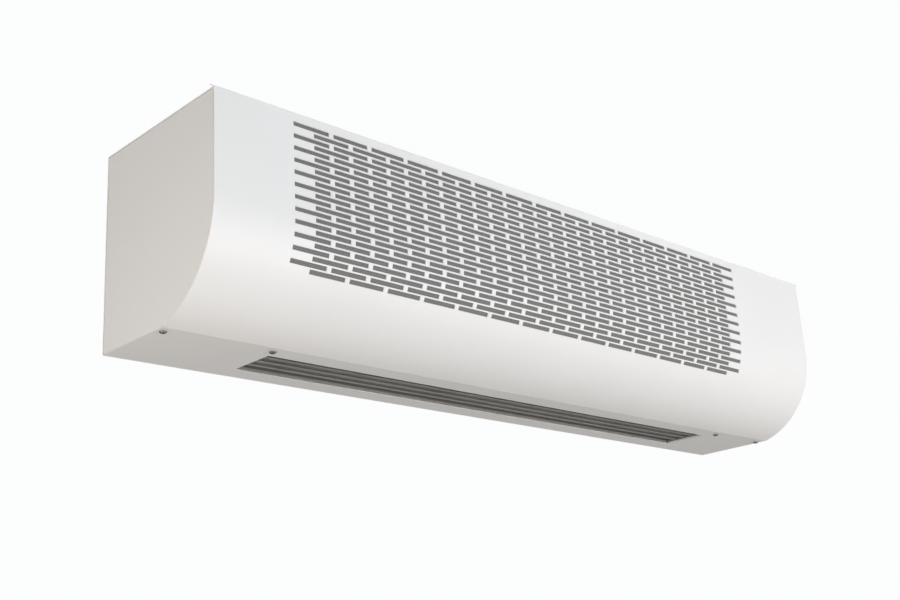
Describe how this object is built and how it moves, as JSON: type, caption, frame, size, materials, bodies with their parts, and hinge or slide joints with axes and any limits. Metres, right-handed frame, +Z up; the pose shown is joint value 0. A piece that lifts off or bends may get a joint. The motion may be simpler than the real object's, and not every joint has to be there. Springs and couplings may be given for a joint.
{
  "type": "air curtain",
  "caption": "Wall mounted air curtain: curved slotted steel front, end motor, tangential fan wheel, heating rods and a downward outlet with guide vanes.",
  "frame": {"origin": "centre of the four wall bracket holes, on the wall plane", "axes": "+X along the curtain to the right as seen from the room, +Y into the wall, +Z up; the slotted front faces -Y"},
  "size_m": [1.074, 0.2115, 0.2452],
  "materials": {
    "white_powder_coat": "satin",
    "galvanised_sheet": "satin",
    "screen_wire": "satin",
    "vane_metal": "satin",
    "plated_steel": "satin",
    "wheel_aluminium": "satin",
    "hub_brass": "satin",
    "bronze": "satin",
    "black_rubber": "matt",
    "motor_paint": "satin",
    "core_iron": "matt",
    "rod_steel": "satin",
    "ceramic_white": "satin",
    "black_plastic": "matt",
    "ivory_plastic": "matt",
    "board_green": "satin",
    "relay_blue": "gloss",
    "capacitor_can": "satin",
    "bracket_steel": "satin"
  },
  "bodies": {
    "chassis": {"front_cover": "white_powder_coat", "intake_screen": "screen_wire", "rear_panel": "white_powder_coat", "top_panel": "white_powder_coat", "bottom_panel": "white_powder_coat", "left_end_plate": "white_powder_coat", "right_end_plate": "white_powder_coat", "bottom_screws": "plated_steel", "top_screws": "plated_steel", "outlet_vanes": "vane_metal", "vane_bracket_left": "vane_metal", "vane_bracket_right": "vane_metal", "left_side_wall": "galvanised_sheet", "right_side_wall": "galvanised_sheet", "scroll_plate": "galvanised_sheet", "edge_plate": "galvanised_sheet", "bearing_bush": "bronze", "bearing_rubber": "black_rubber", "motor_housing": "motor_paint", "motor_cap": "motor_paint", "motor_stator": "core_iron", "motor_rubbers": "black_rubber", "motor_bracket": "galvanised_sheet", "foot_studs": "plated_steel", "foot_nuts": "plated_steel", "heating_rods": "rod_steel", "rod_insulators": "ceramic_white", "rod_terminals": "plated_steel", "overheat_switch": "black_plastic", "terminal_block": "ivory_plastic", "circuit_board": "board_green", "board_spacers": "ivory_plastic", "relays": "relay_blue", "capacitor": "capacitor_can", "capacitor_clip": "galvanised_sheet", "cable_gland": "black_plastic", "gland_nut": "black_plastic", "earth_bolt": "hub_brass", "wall_bracket_left": "bracket_steel", "wall_bracket_right": "bracket_steel"},
    "rotor": {"fan_wheel": "wheel_aluminium", "wheel_hub": "hub_brass", "stub_shaft": "plated_steel", "motor_rotor": "plated_steel"}
  },
  "joints": [
    {"name": "fan_spin", "type": "hinge", "parent": "chassis", "child": "rotor", "pos_m": [0, -0.0903, -0.025], "axis": [1, 0, 0], "continuous": true}
  ]
}
